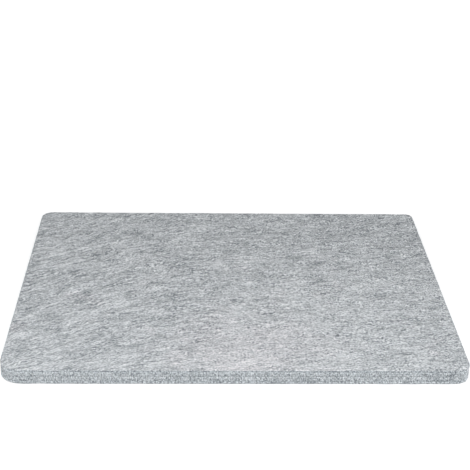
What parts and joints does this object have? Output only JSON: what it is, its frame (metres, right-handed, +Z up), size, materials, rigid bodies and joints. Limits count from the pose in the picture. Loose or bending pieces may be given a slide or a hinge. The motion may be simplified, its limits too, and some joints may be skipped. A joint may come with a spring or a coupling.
{
  "type": "ironing pad",
  "caption": "Flat rectangular pad of thick grey needled wool felt with cut edges and rounded corners, laid on a table as a surface to iron on.",
  "frame": {"origin": "middle of the underside, on the surface that the pad rests on", "axes": "+X to the right along the long side, +Y away from the user, +Z up out of the pressing face"},
  "size_m": [0.432, 0.343, 0.014],
  "materials": {
    "backing_felt": "matt needled wool felt, slightly darker and coarser than the face",
    "lower_core_felt": "matt cut edge of needled wool felt, with fibre ends showing",
    "upper_core_felt": "matt cut edge of needled wool felt, with fibre ends showing",
    "face_felt": "matt needled wool felt with a fine cloudy mottle and loose surface fibres"
  },
  "bodies": {
    "root": {"backing_ply": "backing_felt", "lower_core_ply": "lower_core_felt", "upper_core_ply": "upper_core_felt", "face_ply": "face_felt"}
  },
  "joints": []
}
